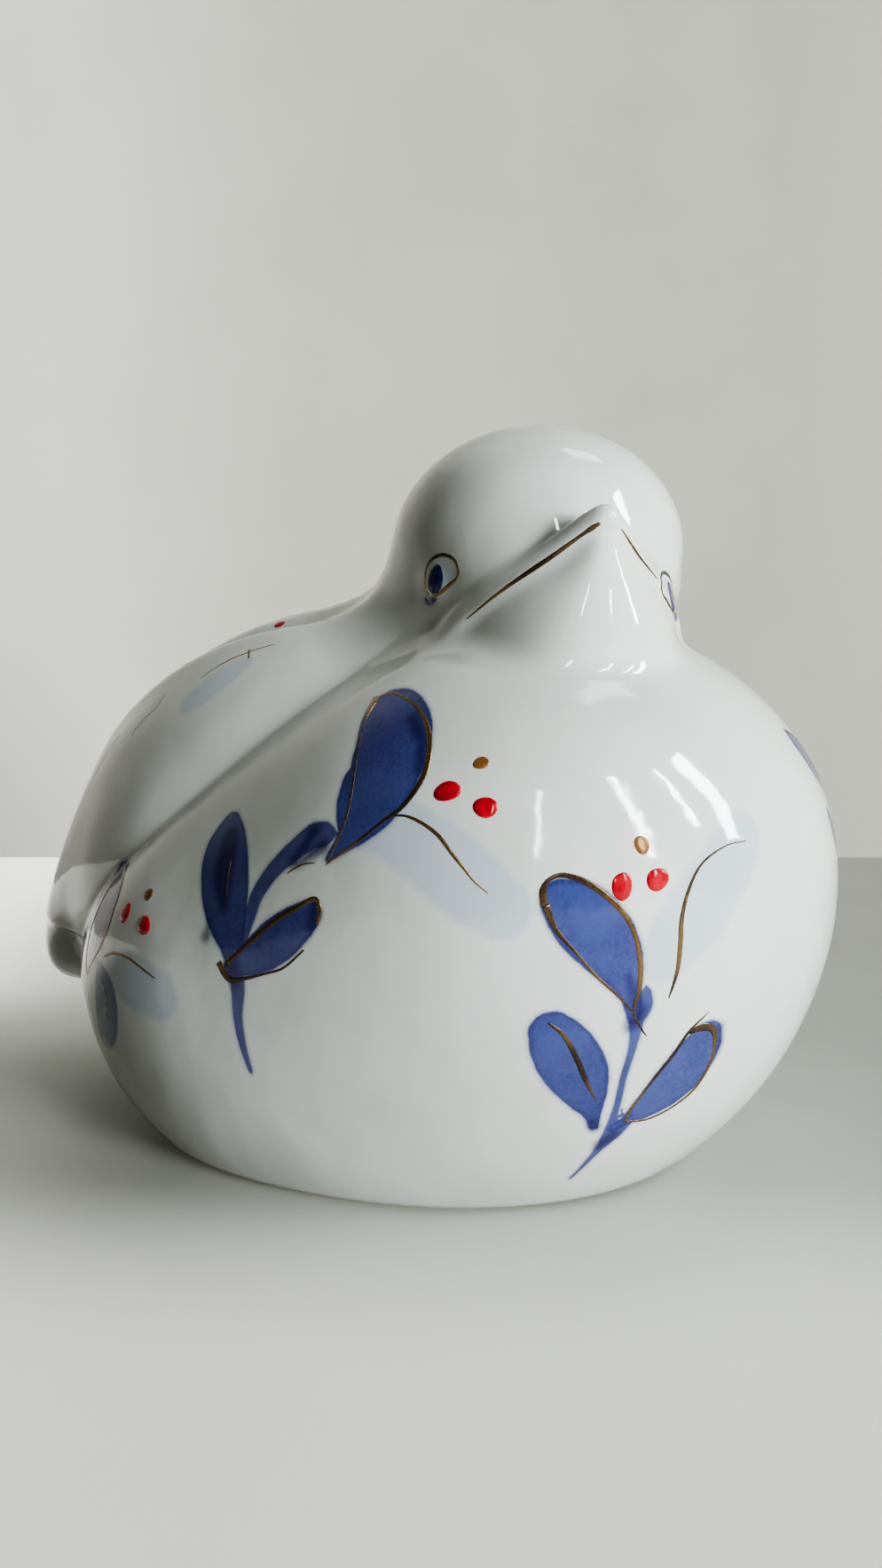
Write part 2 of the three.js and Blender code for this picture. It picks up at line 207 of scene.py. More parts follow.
def bird_distance(points):
    body = blend(belly_distance(points), back_distance(points), BACK["blend"])
    rear = fade(points[..., 1], NECK_CREASE["front_y"], NECK_CREASE["rear_y"])
    crease = NECK_CREASE["front"] + (NECK_CREASE["rear"] - NECK_CREASE["front"]) * rear
    whole = body - wing_relief(points)
    by_head = np.linalg.norm(points - FACE_CENTRE, axis=-1) < HEAD_REACH
    whole[by_head] = blend(whole[by_head], head_distance(points[by_head]), crease[by_head])
    whole = trim(whole, -FOOT["cut"] - points[..., 2], FOOT["edge"])
    x, y, z = np.moveaxis(points, -1, 0)
    ring = np.hypot(x / RECESS["half_width"], (y - RECESS["centre_y"]) / RECESS["half_length"])
    recess = trim((ring - 1) * RECESS["half_width"], z - RECESS["depth"], RECESS["edge"])
    whole = trim(whole, -recess, RECESS["edge"])
    vent = trim(np.hypot(x, y - VENT["centre_y"]) - VENT["radius"], z - VENT["depth"], VENT["edge"])
    return trim(whole, -vent, VENT["edge"])


SLOPE_STEP = 0.02


def slope_of(points, here=None):
    here = bird_distance(points) if here is None else here
    ahead = [bird_distance(points + step) for step in np.eye(3) * SLOPE_STEP]
    return (np.stack(ahead, -1) - here[..., None]) / SLOPE_STEP


def normals_of(points):
    slope = slope_of(points)
    return slope / np.linalg.norm(slope, axis=-1, keepdims=True)


def settle(points, passes=2):
    for _ in range(passes):
        here = bird_distance(points)
        slope = slope_of(points, here)
        steepness = np.maximum((slope**2).sum(-1), 0.25)
        points = points - slope * (here / steepness)[..., None]
    return points


# The skin is a ball of small facets cast on to the form. They crowd towards the head, the bill
# and the tail, where the form is fine.
FACET_ROWS = 96
HEAD_CROWDING = (-0.05, -0.1, 0.3)
CROWDED_SPOTS = [((-0.42, -0.38, 0.6), 0.55, 0.5), ((0, 0.97, -0.2), 0.66, 0.6)]
LOW_START, HIGH_START = np.array((0, -8.5, 50)), np.array((0, -30.5, 88))
RAY_REACH, RAY_SHARE, RAY_STEPS = 130, 0.8, (0.4, 9)
HALVINGS = 10
EVEN_PASSES, EVEN_SHARE = 4, 0.4


def ball_of_facets(rows):
    golden = (1 + 5**0.5) / 2
    corners = [(-1, golden, 0), (1, golden, 0), (-1, -golden, 0), (1, -golden, 0)]
    corners = np.array([np.roll(corner, turn) for turn in range(3) for corner in corners], float)
    gaps = np.linalg.norm(corners[:, None] - corners[None], axis=-1)
    near = np.abs(gaps - 2) < 1e-6
    faces = [
        (i, j, k)
        for i in range(12)
        for j in range(i + 1, 12)
        for k in range(j + 1, 12)
        if near[i, j] and near[j, k] and near[i, k]
    ]
    points, triangles = [], []
    for face in faces:
        a, b, c = corners[list(face)]
        if np.dot(np.cross(b - a, c - a), a) < 0:
            b, c = c, b
        first = sum(len(block) for block in points)
        grid = [(i, j) for i in range(rows + 1) for j in range(rows + 1 - i)]
        place = {cell: first + number for number, cell in enumerate(grid)}
        shares = np.array(grid) / rows
        points.append(a + shares[:, :1] * (b - a) + shares[:, 1:] * (c - a))
        for i, j in grid:
            if i + j < rows:
                triangles.append((place[i, j], place[i + 1, j], place[i, j + 1]))
            if i + j < rows - 1:
                triangles.append((place[i + 1, j], place[i + 1, j + 1], place[i, j + 1]))
    points = np.concatenate(points)
    points /= np.linalg.norm(points, axis=-1, keepdims=True)
    _, first, which = np.unique(np.round(points, 6), axis=0, return_index=True, return_inverse=True)
    return points[first], which.reshape(-1)[np.array(triangles)]


def cast_on_form(directions):
    crowded = directions + HEAD_CROWDING
    crowded /= np.linalg.norm(crowded, axis=-1, keepdims=True)
    for towards, pull, width in CROWDED_SPOTS:
        spot = np.array(towards) / np.linalg.norm(towards)
        share = pull * bump(np.arccos(np.clip(crowded @ spot, -1, 1)), width)[:, None]
        crowded = crowded * (1 - share) + spot * share
        crowded /= np.linalg.norm(crowded, axis=-1, keepdims=True)
    lift = fade(crowded[:, 2:], 0, 1)
    start = LOW_START * (1 - lift) + HIGH_START * lift
    low = np.full(len(crowded), float(RAY_REACH))
    high = low.copy()
    waiting = np.arange(len(crowded))
    while len(waiting):
        gap = bird_distance(start[waiting] + crowded[waiting] * low[waiting, None])
        waiting, gap = waiting[gap > 0], gap[gap > 0]
        high[waiting] = low[waiting]
        low[waiting] -= np.clip(gap * RAY_SHARE, *RAY_STEPS)
    for _ in range(HALVINGS):
        middle = (low + high) / 2
        out = bird_distance(start + crowded * middle[:, None]) > 0
        low, high = np.where(out, low, middle), np.where(out, middle, high)
    return start + crowded * low[:, None]


def even_out(points, triangles):
    edges = np.concatenate([triangles[:, [0, 1]], triangles[:, [1, 2]], triangles[:, [2, 0]]])
    counts = np.bincount(edges[:, 0], minlength=len(points))
    for _ in range(EVEN_PASSES):
        middle = [np.bincount(edges[:, 0], points[edges[:, 1], axis], len(points)) for axis in range(3)]
        middle = np.stack(middle, -1) / counts[:, None]
        points = settle(points + (middle - points) * EVEN_SHARE, 1)
    return settle(points)


directions, skin_triangles = ball_of_facets(FACET_ROWS)
skin = even_out(cast_on_form(directions), skin_triangles)
skin[:, 2] = np.maximum(skin[:, 2], 0)
skin_normals = normals_of(skin)


def mesh_object(name, points, faces):
    mesh = bpy.data.meshes.new(name)
    mesh.from_pydata((points * MILLIMETRE).tolist(), [], [list(map(int, face)) for face in faces])
    mesh.shade_smooth()
    mesh.validate()
    made = bpy.data.objects.new(name, mesh)
    bpy.context.scene.collection.objects.link(made)
    return made


bird = mesh_object("glazed_bird", skin, skin_triangles)
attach(bird, "root")
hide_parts("porcelain_bird")

# The cobalt painting. A common leaf-sprig pattern in blue under the glaze, laid on with a loaded
# brush: each leaf and stem is a row of round touches. Every sprig has a place on the skin and
# is drawn flat there, in millimetres to the right and up.
FAR_FROM_PAINT = 9.0
TOUCHES_PER_SPAN = 14
STEM_FIELD = 1.6  # how far beside a stem its own edge is followed
PANEL_REACH, PANEL_FACING = 58, 0.15


def panel(near, turn=0, flip=1):
    origin = settle(np.array([near], float), 6)[0]
    normal = normals_of(origin[None])[0]
    up = np.array((0, 0, 1)) - normal * normal[2]
    up /= np.linalg.norm(up)
    right = np.cross(up, normal)
    lean = math.radians(turn)
    lean_up = up * math.cos(lean) + right * math.sin(lean)
    lean_right = right * math.cos(lean) - up * math.sin(lean)
    return {"origin": origin, "right": lean_right * flip, "up": lean_up, "normal": normal}


def smooth_path(points, per_span=TOUCHES_PER_SPAN):
    points = np.array(points, float)
    ends = np.concatenate([[2 * points[0] - points[1]], points, [2 * points[-1] - points[-2]]])
    share = np.linspace(0, 1, per_span, endpoint=False)[:, None]
    spans = []
    for a, b, c, d in zip(ends, ends[1:], ends[2:], ends[3:]):
        curve = 2 * b + (c - a) * share + (2 * a - 5 * b + 4 * c - d) * share**2
        spans.append(0.5 * (curve + (3 * b - a - 3 * c + d) * share**3))
    return np.concatenate([*spans, points[-1:]])


def flat_places(place, points):
    offset = points - place["origin"]
    return np.stack([offset @ place["right"], offset @ place["up"]], -1)


def facing_panel(place):
    outward = skin_normals @ place["normal"]
    close = np.linalg.norm(skin - place["origin"], axis=-1) < PANEL_REACH
    return np.flatnonzero((outward > PANEL_FACING) & close)


BRUSHED = ("cobalt_leaf", "cobalt_stem", "cobalt_pool", "cobalt_wash")
paint = {name: np.full(len(skin), FAR_FROM_PAINT) for name in (*BRUSHED, "stem_across", "brush_along")}
paint["stem_radius"] = np.full(len(skin), -FAR_FROM_PAINT)


def lengths_along(row):
    return np.concatenate([[0], np.cumsum(np.linalg.norm(np.diff(row, axis=0), axis=-1))])


def brush(layer, place, touches):
    row = smooth_path(touches)
    near = facing_panel(place)
    flat = flat_places(place, skin[near])
    gaps = np.linalg.norm(flat[:, None] - row[None, :, :2], axis=-1) - row[None, :, 2]
    nearer = gaps.min(-1) < paint[layer][near]
    chosen, closest = near[nearer], gaps.argmin(-1)[nearer]
    paint[layer][chosen] = gaps.min(-1)[nearer]
    offset = flat[nearer] - row[closest, :2]
    along = np.gradient(row[:, :2], axis=0)[closest]
    along /= np.linalg.norm(along, axis=-1, keepdims=True) + 1e-9
    lengthwise = (along * offset).sum(-1)
    if layer == "cobalt_leaf":
        lengths = lengths_along(row[:, :2])
        paint["brush_along"][chosen] = (lengths[closest] + lengthwise) / lengths[-1]
    if layer == "cobalt_stem":
        past_end = np.where(closest == len(row) - 1, lengthwise, 0)
        beyond = np.where(closest == 0, -lengthwise, past_end)
        radius = row[closest, 2] - np.maximum(beyond, 0)
        far_off = gaps.min(-1)[nearer] > STEM_FIELD
        paint["stem_across"][chosen] = along[:, 0] * offset[:, 1] - along[:, 1] * offset[:, 0]
        paint["stem_radius"][chosen] = np.where(far_off, -STEM_FIELD, radius)


# Each touch is (right, up, radius); a berry or drop is (right, up, half width, half height, lean).
# The far side and the back repeat the flank, breast and rear sprigs.
FLANK_SPRIG = {
    "cobalt_leaf": [
        [
            (-4.8, -1.5, 0.6), (-2.1, 1.6, 1.9), (0, 5, 3.7), (1.5, 8.8, 5.3), (1.8, 14, 6.7),
            (1.1, 19, 6.8), (-1.5, 23.4, 5.3), (-3.8, 25.2, 2.8),
        ],
        [
            (-28.8, 3.6, 2.3), (-27.9, -1, 4.9), (-25.9, -6.5, 5.4), (-24.2, -11.5, 4.4),
            (-22.6, -15.5, 2.8), (-21.8, -19, 1.4),
        ],
        [(-3.2, 4.4, 1.3), (-4.3, 8.2, 1.2), (-4.6, 11.6, 0.9), (-4.2, 14, 0.4)],
        [
            (-23, -20, 0.9), (-18.5, -18.2, 2.6), (-13.6, -15.1, 3.7), (-9.6, -12.1, 3.3),
            (-6.8, -10, 2.2),
        ],
    ],
    "cobalt_stem": [
        [
            (-5.6, 2.4, 2), (-8.4, 2, 2.2), (-11.5, -0.2, 1.9), (-15.2, -3.6, 1.6),
            (-17.9, -7.6, 1.4), (-19, -11.2, 1.3), (-20.4, -16, 1.2),
        ],
        [
            (-21.8, -18.9, 1.8), (-20.6, -22.4, 1.5), (-20.7, -27.3, 1), (-20.2, -31.3, 0.8),
            (-19.1, -35.7, 0.45),
        ],
    ],
    "cobalt_pool": [
        [(-8.6, 2.8, 1.3), (-9.4, 1, 0.8), (-11.4, -2.2, 1.1)],
        [(-6.2, 0.4, 1.3), (-8.4, -1.2, 0.9), (-10.6, -2.8, 0.5)],
        [(-27.6, 1, 2.1), (-26.6, -5.5, 2.3), (-25, -10.5, 1.2)],
        [(3.4, 22.6, 1.2), (6.6, 18.6, 1), (7.8, 13.6, 0.7)],
        [(-21.9, -19.6, 1.5), (-21.2, -22.4, 0.9)],
        [(-6.2, -9.4, 1), (-6.6, -12, 0.7)],
        [(-28.2, -15.6, 0.9), (-27.6, -13.4, 0.5)],
    ],
    "cobalt_wash": [[(3.4, 4.6, 4.6), (10.1, 2.2, 5.2), (17.4, -2.2, 5.6), (22.6, -5.6, 4.8)]],
    "berry": [(13.2, 10.5, 2.02, 1.68, 10), (19.3, 8.6, 1.81, 1.6, 20)],
    "gold_drop": [(17.1, 15.5, 1.13, 1.09, 0)],
    "gold_line": [
        [
            (-6.5, 27.2, 0.55), (-6.3, 25.6, 0.58), (-6.1, 22.7, 0.2), (-5, 17.6, 0.17),
            (-3.4, 11.3, 0.19), (-2.8, 6.2, 0.16), (-3.5, 1.9, 0.17), (-4.9, -2.4, 0.11),
        ],
        [
            (-5.9, 27.3, 0.16), (-2.6, 27.7, 0.23), (3.4, 24.6, 0.33), (7.5, 19.6, 0.43),
            (8.9, 13.3, 0.48), (7, 8, 0.39), (3.8, 4.9, 0.27), (-0.3, 1.2, 0.23),
            (-4.8, -2.2, 0.16),
        ],
        [
            (4.6, 5.9, 0.12), (7.5, 6.1, 0.2), (10.4, 5.2, 0.27), (13.2, 3.6, 0.31),
            (15.6, 1.2, 0.28), (17.7, -0.9, 0.2), (19.3, -2.5, 0.14), (21.3, -3.9, 0.08),
        ],
        [(-12.4, -4.2, 0.09), (-9.8, -2.7, 0.16), (-7, -2.2, 0.09)],
        [
            (-23.2, -19.6, 0.39), (-18.6, -15.6, 0.47), (-13.4, -11.5, 0.48), (-9.5, -9.3, 0.43),
            (-6.3, -7.7, 0.39), (-5.2, -9.2, 0.39), (-5.4, -11.6, 0.33),
        ],
        [
            (-24.8, -19.4, 0.58), (-22.4, -21.7, 0.55), (-19.3, -21.3, 0.31), (-15, -20, 0.2),
            (-11.4, -18.7, 0.19), (-7.6, -15.6, 0.16),
        ],
        [(-25.8, -2.6, 0.08), (-25.4, -6, 0.17), (-24.6, -9.8, 0.09)],
    ],
}
BREAST_SPRIG = {
    "cobalt_leaf": [
        [
            (-7.8, 15, 3.3), (-4.5, 12.5, 5.2), (-1.2, 9, 4.9), (1.1, 5.2, 3.4), (2.7, 1, 1.8),
            (3.6, -2.6, 1.2),
        ],
        [
            (-8.6, -4.8, 3.7), (-6.6, -8, 4.9), (-4.2, -12, 4.8), (-2.2, -16.2, 3.2),
            (-0.8, -19.8, 1.5), (-0.1, -22.6, 0.9),
        ],
        [
            (3.2, -23.4, 1), (4.8, -22.2, 1.1), (8.8, -19, 3), (12.6, -15.2, 4.5),
            (15.4, -11, 4.3), (16.8, -8, 2.9),
        ],
    ],
    "cobalt_stem": [
        [(4.2, -3, 1.3), (3.9, -8, 0.75), (3.2, -13.3, 0.65), (2.9, -20, 0.7), (2.2, -26.7, 1)],
        [(5.6, -21.6, 1.2), (3.8, -24.6, 1.3), (2.1, -26.9, 1.1)],
        [(2.1, -27, 0.9), (0.4, -31, 0.5), (-1.6, -35.6, 0.25)],
        [(5.2, 1.6, 0.9), (5.4, -1, 1.1), (4.6, -3, 1)],
    ],
    "cobalt_pool": [
        [(3.2, -4, 1.2), (4.4, -2.6, 1.2), (4.9, -1.4, 0.9)],
        [(2.2, 4.2, 0.4), (3.2, 1.4, 0.7), (3.8, -1.5, 0.9)],
        [(3.6, -25.2, 0.9), (1.6, -27.1, 1.2)],
        [(-0.5, -21.6, 0.9), (0.1, -23, 0.9)],
        [(19.2, -6.8, 0.6), (19.7, -9.4, 0.5), (19.4, -12, 0.3)],
    ],
    "cobalt_wash": [[(21.4, 21.5, 4.4), (16, 15, 5.6), (11, 10.2, 5.4), (7.6, 6, 3.6)]],
    "berry": [(1.1, 17.1, 1.51, 2.06, 0), (6.7, 17.8, 1.76, 1.64, 0)],
    "gold_drop": [(4.5, 22.6, 1.22, 1.22, 0)],
    "gold_line": [
        [
            (-10.3, 14.4, 0.58), (-10.5, 16.4, 0.55), (-9.6, 18, 0.31), (-7.4, 18.7, 0.39),
            (-3.9, 17.6, 0.48), (-0.3, 15, 0.47), (2.4, 11.6, 0.39), (3.8, 7.1, 0.39),
            (4.1, 2.4, 0.39), (3.5, -1.8, 0.23), (5.2, -5, 0.14), (6, -6, 0.08),
        ],
        [
            (-10.2, 14.6, 0.55), (-8.8, 11.2, 0.39), (-5.9, 7.9, 0.22), (-2.4, 4, 0.23),
            (0.8, 1.1, 0.2), (3, -1.4, 0.16),
        ],
        [
            (-9.3, -3.1, 0.16), (-6.9, -5.2, 0.35), (-4.7, -9, 0.43), (-2.8, -13.1, 0.39),
            (-0.9, -16.9, 0.11),
        ],
        [
            (4.8, -22.4, 0.23), (5.9, -18.9, 0.27), (8.5, -14.2, 0.27), (11.2, -10, 0.31),
            (13.3, -6.4, 0.27), (16.4, -3.6, 0.09),
        ],
        [
            (13.4, -6.5, 0.39), (15.8, -6.1, 0.7), (17.8, -7, 0.58), (18.6, -9.6, 0.39),
            (18.5, -13.4, 0.33), (16.6, -18, 0.31), (13.2, -20.9, 0.23), (9, -22.6, 0.23),
            (5, -22.4, 0.23),
        ],
        [
            (22.8, 21.5, 0.08), (19.2, 21.4, 0.12), (15.4, 20.1, 0.16), (13.1, 18.2, 0.22),
            (11.4, 15.1, 0.31), (10.5, 11.6, 0.39), (10.4, 8.7, 0.43), (10.1, 4.2, 0.37),
            (9, -0.1, 0.11),
        ],
    ],
}
REAR_SPRIG = {
    "cobalt_leaf": [
        [(-17.5, -7, 1), (-16.3, -4, 3), (-13.8, 0.5, 5), (-12, 5.5, 5.4), (-12.2, 11.5, 3)],
        [(-9.4, -5.6, 2), (-7.2, -10, 4.6), (-8.4, -14.4, 4.4), (-11.4, -17.4, 2)],
    ],
    "cobalt_stem": [[(-17.6, -7, 1.2), (-15.4, -5.6, 0.9), (-10.4, -4.6, 0.9)]],
    "cobalt_pool": [[(-11.4, 10, 2), (-12, 4.6, 3.2), (-14.4, 0, 2.4)]],
    "cobalt_wash": [[(-3, -4, 3.6), (3.4, -5.2, 4.8), (10.5, -6, 4.4)]],
    "berry": [(-2.1, 6.2, 1.6, 1.85, 0), (4.6, 4.9, 1.68, 1.76, 0)],
    "gold_drop": [(3.4, 10.1, 1.09, 1.13, 0)],
    "gold_line": [
        [(-17.8, -7.4, 0.16), (-18.4, -3, 0.27), (-18.2, 3, 0.31), (-15.4, 11.6, 0.23)],
        [
            (-12, 13.4, 0.39), (-8, 9.6, 0.39), (-7.2, 3.6, 0.35), (-10.4, -1.8, 0.27),
            (-17.4, -7.4, 0.16),
        ],
        [(-7.4, -2.4, 0.23), (-3.6, -1.2, 0.27), (1.1, -1.2, 0.23), (4.8, -2, 0.19), (9.5, -3.4, 0.09)],
        [(-8.2, -6.4, 0.12), (-6.6, -10, 0.31), (-8.4, -14.4, 0.11)],
    ],
}
WING_SPRIG = {
    "cobalt_leaf": [[(-12, -2, 1), (-7, 1, 3.4), (-1, 3.4, 4), (4, 4, 2)]],
    "cobalt_stem": [[(-12, -2, 0.9), (-17, -5.4, 0.5)]],
    "cobalt_pool": [[(-8, 0.4, 0.8), (-2, 3, 1.2)]],
    "cobalt_wash": [[(7, 2, 3), (11, 4.4, 5), (16, 6.6, 4.4)]],
    "berry": [(9, -3.4, 1.8, 1.8, 0)],
    "gold_drop": [(13, -2.4, 1.2, 1.2, 0)],
    "gold_line": [
        [(-3, 9.8, 0.08), (4, 11.4, 0.2), (12, 14, 0.19), (18, 17.4, 0.08)],
        [
            (-12, -2.2, 0.16), (-6, -3, 0.27), (1, -1, 0.31), (5, 2.6, 0.23), (4, 5.4, 0.23),
            (-2, 7, 0.23), (-8.4, 3.4, 0.19), (-12.4, -2, 0.12),
        ],
    ],
}
NEAR_WING_MARKS = {
    "cobalt_leaf": [
        [
            (-18.6, -9.6, 0.6), (-22.2, -13.6, 2.4), (-26.4, -18, 3.6), (-31, -22.5, 4),
            (-34.6, -27, 2),
        ],
    ],
    "cobalt_pool": [[(-20.4, -11.4, 1), (-25.6, -17, 2.6), (-30, -21.4, 2.6)]],
    "cobalt_wash": [
        [(4.4, 0.6, 2.8), (6.6, 3.8, 3.6), (9, 9, 3), (10.2, 11.4, 1.8)],
        [(-8.4, 0.2, 1.6), (-9.8, -3.6, 2.4), (-13, -7, 2.8), (-16.4, -11.4, 2.4)],
    ],
    "gold_line": [
        [(1.5, 6.1, 0.08), (4.6, 10.6, 0.16), (8.7, 14.3, 0.15), (13.2, 17.7, 0.08)],
        [(8.3, 14.9, 0.26), (10.3, 12.9, 0.16)],
        [(-7.6, 1.2, 0.08), (-6.8, -2, 0.12), (-9.2, -5.2, 0.1), (-10.4, -9, 0.07)],
    ],
}
BACK_MARKS = {
    "cobalt_wash": [[(-3, -0.6, 1.6), (-8, -0.4, 2.2), (-15, -0.6, 2.4), (-22, -1, 1.8)]],
    "berry": [(1.4, 0.2, 1.3, 1.1, 0)],
}
THROAT_SPRIG = {
    "cobalt_leaf": [
        [(-13.8, 14.5, 1.2), (-12.4, 11.5, 2.6), (-9.5, 7.5, 3.4), (-5.6, 3.6, 1.8)],
        [(-12.8, -1, 1.4), (-10.8, -4.4, 2.6), (-7, -8, 3), (-2.5, -9, 1.4)],
    ],
    "cobalt_stem": [[(-5.6, 3.6, 1.2), (-2.6, -2, 0.9), (-2, -9, 1), (-0.4, -16, 0.5)]],
    "cobalt_pool": [[(-13, 13, 1), (-10.4, 8.6, 1.4)], [(-12, -2.6, 1), (-8.6, -6.8, 1)]],
    "cobalt_wash": [[(4, -3, 3.4), (10, -5.4, 4.6), (16, -6.6, 4)]],
    "berry": [(1.8, 8.4, 1.9, 2.1, 0), (7.4, 6.8, 2, 2, 0)],
    "gold_drop": [(6, 12.4, 1.3, 1.3, 0)],
    "gold_line": [
        [(-14.6, 15.6, 0.3), (-10, 14, 0.35), (-6, 9.4, 0.35), (-4, 4, 0.2)],
        [(-2, 0.6, 0.16), (3, 1.6, 0.26), (8, 0.4, 0.26), (14, -2.6, 0.08)],
    ],
}
LOW_STEM = {
    "cobalt_stem": [
        [
            (12, 14, 1.1), (8.6, 9.6, 0.8), (4.4, 4.4, 0.75), (0, -0.6, 0.8), (-4.4, -6.6, 0.45),
        ],
    ],
}
# The eyes: a cobalt iris inside a gold teardrop line, painted beside the bill. The near one lies
# on its low mound; the far one sits a little forward of its mound, where it shows past the head.
EYE = {
    "cobalt_stem": [[(-2.2, -1.7, 0.35), (-1.2, -2.2, 0.5), (0.5, -1.8, 0.3)]],
    "cobalt_wash": [[(2.4, 3.8, 0.9), (3.6, 2.8, 1.1), (3.2, 1.6, 0.6)]],
    "gold_line": [
        [
            (-1, -1.5, 0.28), (-2, 0.1, 0.22), (-2.1, 2.2, 0.2), (-1.5, 4.2, 0.24),
            (0.4, 5.4, 0.34), (2.9, 5.6, 0.32), (5.1, 4.6, 0.26), (6, 2.7, 0.26), (5.5, 1.5, 0.22),
            (3.9, 0.5, 0.36), (2.4, -0.4, 0.34), (0.6, -1.2, 0.24), (-1, -1.5, 0.28),
        ],
    ],
}
IRIS = (0.65, 1.6, 1.75, 2.6, -12)
FAR_EYE_PLACE = (-6.6, -61.4, 102.2)
near_mound_out = eye_mounds[0] - FACE_CENTRE
near_mound_out *= EYE_MOUND["radius"] / np.linalg.norm(near_mound_out)
eye_panels = [panel(eye_mounds[0] + near_mound_out), panel(FAR_EYE_PLACE, 0, -1)]

SPRIGS = [
    (FLANK_SPRIG, panel((-58.1, -29.6, 63.2))),
    (BREAST_SPRIG, panel((-45.4, -66.4, 41.9))),
    (REAR_SPRIG, panel((-58.7, 18.6, 42.6))),
    (THROAT_SPRIG, panel((17.6, -79.6, 66))),
    (LOW_STEM, panel((-6, -73, 12))),
    (FLANK_SPRIG, panel((50, -46, 62), 0, -1)),
    (BREAST_SPRIG, panel((61, 12, 44), -8)),
    (REAR_SPRIG, panel((28, 55, 24), 10, -1)),
    (NEAR_WING_MARKS, panel((-34.7, 27.6, 85.4), 6)),
    (BACK_MARKS, panel((-16.4, 18.3, 100.7))),
    (WING_SPRIG, panel((34.7, 24, 86), -4, -1)),
    (EYE, eye_panels[0]),
    (EYE, eye_panels[1]),
]
for sprig, place in SPRIGS:
    for layer in BRUSHED:
        for touches in sprig.get(layer, ()):
            brush(layer, place, touches)

# Where the foot stands, the glaze was wiped off before firing, so the clay is bare there.
FOOT_FACING, WIPED_SIDE = -0.3, 1.5
faces_down = skin_normals[:, 2] < FOOT_FACING
paint["bare_foot"] = np.where(faces_down, skin[:, 2], skin[:, 2] + WIPED_SIDE)
for name, values in paint.items():
    layer = bird.data.attributes.new(name, "FLOAT", "POINT")
    layer.data.foreach_set("value", values.astype(np.float32))


# The finishes are made of nodes. Each of these puts in one node with its settings and inputs: a
# stored mark of the painting, a noise, a ramp, a sum or a mix.
def feed(tree, socket, value):
    if isinstance(value, bpy.types.NodeSocket):
        tree.links.new(value, socket)
    else:
        socket.default_value = value


def add_node(tree, kind, settings=None, **inputs):
    node = tree.nodes.new(kind)
    for key, value in (settings or {}).items():
        setattr(node, key, value)
    for key, value in inputs.items():
        place = int(key[1:]) if key[1:].isdigit() else key.replace("_", " ").title()
        feed(tree, node.inputs[place], value)
    return node


def attribute(tree, name):
    return add_node(tree, "ShaderNodeAttribute", {"attribute_name": name}).outputs["Fac"]


def noise(tree, scale, detail, vector, roughness=0.5):
    settings = {"Scale": scale, "Detail": detail, "Roughness": roughness, "Vector": vector}
    return add_node(tree, "ShaderNodeTexNoise", None, **settings).outputs["Fac"]


def ramp(tree, value, low, high, to_low=0.0, to_high=1.0):
    limits = {"Value": value, "From_Min": low, "From_Max": high, "To_Min": to_low, "To_Max": to_high}
    smooth = {"interpolation_type": "SMOOTHSTEP"}
    return add_node(tree, "ShaderNodeMapRange", smooth, **limits).outputs["Result"]


def maths(tree, operation, first, second=0.0):
    return add_node(tree, "ShaderNodeMath", {"operation": operation}, i0=first, i1=second).outputs[0]


def mix(tree, share, first, second):
    node = add_node(tree, "ShaderNodeMix", {"data_type": "RGBA"}, i0=share, i6=first, i7=second)
    return node.outputs[2]


def object_place(tree):
    return add_node(tree, "ShaderNodeTexCoord").outputs["Object"]


def material(name):
    made = bpy.data.materials.new(name)
    made.use_nodes = True
    tree = made.node_tree
    return made, tree, tree.nodes["Principled BSDF"]


# The glaze: white porcelain under a thick clear glaze, a little cool, with the odd pinhole. The
# cobalt sinks into it with soft edges and settles darker where the brush stopped.
WHITE = (0.79, 0.845, 0.82, 1)
SHADED_WHITE = (0.75, 0.805, 0.775, 1)
COBALT = (0.03, 0.038, 0.21, 1)
COBALT_THIN = (0.07, 0.1, 0.33, 1)
COBALT_DARK = (0.012, 0.012, 0.12, 1)
WASH = (0.46, 0.58, 0.76, 1)
BISCUIT = (0.66, 0.62, 0.55, 1)
PINHOLE = (0.12, 0.1, 0.08, 1)
GLAZE_IOR = 1.52
BRUSH_EDGE = (0.2, -0.25)
GRAIN = {"edge": 420, "mottle": 1500, "patches": 150, "cloud": 60, "gloss": 30}
RELIEF = {"ripple": 38, "peel": 260, "swell": 120}
PINHOLE_CELLS, PINHOLE_SHARE = 55.0, 0.9

glaze, tree, shader = material("painted_glaze")
where = object_place(tree)
edge_noise = maths(tree, "SUBTRACT", noise(tree, GRAIN["edge"], 3, where), 0.5)
edge_wobble = maths(tree, "MULTIPLY", edge_noise, 0.5)
fine_wobble = maths(tree, "MULTIPLY", edge_wobble, 0.4)
leaf_edge = maths(tree, "ADD", attribute(tree, "cobalt_leaf"), edge_wobble)
from_middle = maths(tree, "ABSOLUTE", attribute(tree, "stem_across"))
stem_edge = maths(tree, "SUBTRACT", from_middle, attribute(tree, "stem_radius"))
from_touches = attribute(tree, "cobalt_stem")
stem_edge = maths(tree, "MINIMUM", stem_edge, maths(tree, "ADD", from_touches, 0.45))
stem_edge = maths(tree, "MAXIMUM", stem_edge, maths(tree, "SUBTRACT", from_touches, 0.5))
stem_edge = maths(tree, "ADD", stem_edge, fine_wobble)
pool_edge = maths(tree, "ADD", attribute(tree, "cobalt_pool"), edge_wobble)
wide_wobble = maths(tree, "MULTIPLY", edge_wobble, 3.0)
wash_edge = maths(tree, "ADD", attribute(tree, "cobalt_wash"), wide_wobble)
